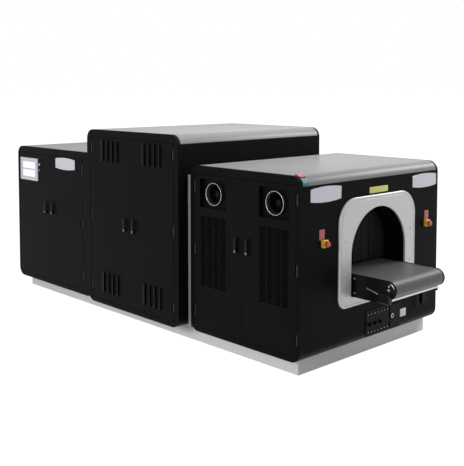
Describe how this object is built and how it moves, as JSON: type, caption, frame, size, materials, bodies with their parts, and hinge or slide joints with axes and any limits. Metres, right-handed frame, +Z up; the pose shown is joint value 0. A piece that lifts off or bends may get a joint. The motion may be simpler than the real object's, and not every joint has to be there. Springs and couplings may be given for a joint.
{
  "type": "baggage ct scanner",
  "caption": "Airport hold-baggage CT scanner: linked cabinets on plinths with service doors, an arched tunnel, a through belt and a rotating gantry inside.",
  "frame": {"origin": "on the floor, below the middle of the row of cabinets", "axes": "+X along the belt towards the entry end, -Y towards the door side, +Z up"},
  "size_m": [5.436, 2.1213, 1.975],
  "materials": {
    "black_paint": "black powder coat with a fine texture",
    "silver_paint": "satin silver-grey paint",
    "plinth_paint": "pale grey paint",
    "bezel_paint": "satin grey paint",
    "lever_black": "black paint",
    "machine_grey": "grey machine paint",
    "liner_grey": "light grey liner sheet",
    "bare_steel": "bare or zinc-plated steel",
    "belt_rubber": "dark grey conveyor belting",
    "black_plastic": "moulded black plastic",
    "plate_white": "pale plastic",
    "button_white": "pale moulded plastic",
    "screen_glass": "lit display window",
    "stop_yellow": "yellow moulded plastic",
    "stop_red": "red moulded plastic",
    "lamp_red": "red ribbed lens",
    "lamp_blue": "blue ribbed lens"
  },
  "bodies": {
    "base": {"entry_plinth": "plinth_paint", "entry_frame": "black_paint", "entry_top_cover": "silver_paint", "entry_end_panels": "black_paint", "entry_back_panel": "black_paint", "centre_plinth": "plinth_paint", "centre_frame": "black_paint", "centre_top_cover": "silver_paint", "centre_end_panels": "black_paint", "centre_back_panel": "black_paint", "exit_plinth": "plinth_paint", "exit_frame": "black_paint", "exit_top_cover": "silver_paint", "exit_end_panels": "black_paint", "exit_back_panel": "black_paint", "module_joints": "black_paint", "hinge_pins": "bare_steel", "tunnel_liner": "liner_grey", "entry_bezel": "bezel_paint", "exit_bezel": "bezel_paint", "belt": "belt_rubber", "conveyor_bed": "bare_steel", "side_rails": "lever_black", "under_trays": "bare_steel", "drive_motor": "lever_black", "gantry_stand": "machine_grey", "electronics_rack": "machine_grey", "stop_button_bases": "stop_yellow", "red_status_lamp": "lamp_red", "blue_status_lamp": "lamp_blue", "front_name_plates": "plate_white", "service_panel": "black_plastic"},
    "entry_left_door": {"entry_left_door": "black_paint", "left_fan": "black_plastic"},
    "entry_left_lever": {"entry_left_lever": "lever_black"},
    "entry_right_door": {"entry_right_door": "black_paint", "right_fan": "black_plastic"},
    "entry_right_lever": {"entry_right_lever": "lever_black"},
    "centre_left_door": {"centre_left_door": "black_paint"},
    "centre_left_lever": {"centre_left_lever": "lever_black"},
    "centre_right_door": {"centre_right_door": "black_paint"},
    "centre_right_lever": {"centre_right_lever": "lever_black"},
    "exit_left_door": {"exit_left_door": "black_paint", "display_housing": "plate_white", "display_screens": "screen_glass"},
    "exit_left_lever": {"exit_left_lever": "lever_black"},
    "exit_right_door": {"exit_right_door": "black_paint", "door_name_plate": "plate_white"},
    "exit_right_lever": {"exit_right_lever": "lever_black"},
    "left_fan_rotor": {"left_fan_rotor": "black_plastic"},
    "right_fan_rotor": {"right_fan_rotor": "black_plastic"},
    "left_stop_button": {"left_stop_button": "stop_red"},
    "right_stop_button": {"right_stop_button": "stop_red"},
    "upper_display_button": {"upper_display_button": "button_white"},
    "lower_display_button": {"lower_display_button": "stop_red"},
    "nose_roller": {"nose_roller": "bare_steel"},
    "tail_roller": {"tail_roller": "bare_steel"},
    "gantry_rotor": {"gantry_rotor": "machine_grey", "x_ray_tube": "bare_steel", "detector_arc": "machine_grey"}
  },
  "joints": [
    {"name": "entry_left_door_hinge", "type": "hinge", "parent": "base", "child": "entry_left_door", "pos_m": [0.948, -0.988, 0.95], "axis": [0, 0, -1], "range_deg": [0, 92]},
    {"name": "entry_left_lever_turn", "type": "hinge", "parent": "entry_left_door", "child": "entry_left_lever", "pos_m": [1.51, -1.01, 0.985], "axis": [0, -1, 0], "range_deg": [0, 90]},
    {"name": "entry_right_door_hinge", "type": "hinge", "parent": "base", "child": "entry_right_door", "pos_m": [2.212, -0.988, 0.95], "axis": [0, 0, 1], "range_deg": [0, 92]},
    {"name": "entry_right_lever_turn", "type": "hinge", "parent": "entry_right_door", "child": "entry_right_lever", "pos_m": [1.65, -1.01, 0.985], "axis": [0, 1, 0], "range_deg": [0, 90]},
    {"name": "centre_left_door_hinge", "type": "hinge", "parent": "base", "child": "centre_left_door", "pos_m": [-0.603, -1.078, 0.95], "axis": [0, 0, -1], "range_deg": [0, 92]},
    {"name": "centre_left_lever_turn", "type": "hinge", "parent": "centre_left_door", "child": "centre_left_lever", "pos_m": [-0.001, -1.1, 0.985], "axis": [0, -1, 0], "range_deg": [0, 90]},
    {"name": "centre_right_door_hinge", "type": "hinge", "parent": "base", "child": "centre_right_door", "pos_m": [0.741, -1.078, 0.95], "axis": [0, 0, 1], "range_deg": [0, 92]},
    {"name": "centre_right_lever_turn", "type": "hinge", "parent": "centre_right_door", "child": "centre_right_lever", "pos_m": [0.139, -1.1, 0.985], "axis": [0, 1, 0], "range_deg": [0, 90]},
    {"name": "exit_left_door_hinge", "type": "hinge", "parent": "base", "child": "exit_left_door", "pos_m": [-2.208, -1.018, 0.95], "axis": [0, 0, -1], "range_deg": [0, 92]},
    {"name": "exit_left_lever_turn", "type": "hinge", "parent": "exit_left_door", "child": "exit_left_lever", "pos_m": [-1.616, -1.04, 0.985], "axis": [0, -1, 0], "range_deg": [0, 90]},
    {"name": "exit_right_door_hinge", "type": "hinge", "parent": "base", "child": "exit_right_door", "pos_m": [-0.884, -1.018, 0.95], "axis": [0, 0, 1], "range_deg": [0, 92]},
    {"name": "exit_right_lever_turn", "type": "hinge", "parent": "exit_right_door", "child": "exit_right_lever", "pos_m": [-1.476, -1.04, 0.985], "axis": [0, 1, 0], "range_deg": [0, 90]},
    {"name": "left_fan_spin", "type": "hinge", "parent": "entry_left_door", "child": "left_fan_rotor", "pos_m": [1.202, -0.93, 1.453], "axis": [0, 1, 0], "continuous": true},
    {"name": "right_fan_spin", "type": "hinge", "parent": "entry_right_door", "child": "right_fan_rotor", "pos_m": [1.958, -0.93, 1.453], "axis": [0, 1, 0], "continuous": true},
    {"name": "left_stop_press", "type": "slide", "parent": "base", "child": "left_stop_button", "axis": [-1, 0, 0], "range_m": [0, 0.005], "stiffness_N_per_m": 1000},
    {"name": "right_stop_press", "type": "slide", "parent": "base", "child": "right_stop_button", "axis": [-1, 0, 0], "range_m": [0, 0.005], "stiffness_N_per_m": 1000},
    {"name": "upper_display_press", "type": "slide", "parent": "exit_left_door", "child": "upper_display_button", "axis": [0, 1, 0], "range_m": [0, 0.003], "stiffness_N_per_m": 600},
    {"name": "lower_display_press", "type": "slide", "parent": "exit_left_door", "child": "lower_display_button", "axis": [0, 1, 0], "range_m": [0, 0.003], "stiffness_N_per_m": 600},
    {"name": "nose_roller_turn", "type": "hinge", "parent": "base", "child": "nose_roller", "pos_m": [2.64, 0.04, 0.726], "axis": [0, 1, 0], "continuous": true},
    {"name": "tail_roller_turn", "type": "hinge", "parent": "base", "child": "tail_roller", "pos_m": [-2.64, 0.04, 0.726], "axis": [0, 1, 0], "continuous": true},
    {"name": "gantry_turn", "type": "hinge", "parent": "base", "child": "gantry_rotor", "pos_m": [0.02, 0.04, 0.958], "axis": [1, 0, 0], "continuous": true}
  ],
  "couplings": [
    {"joint": "tail_roller_turn", "follows": "nose_roller_turn", "ratio": 1}
  ]
}
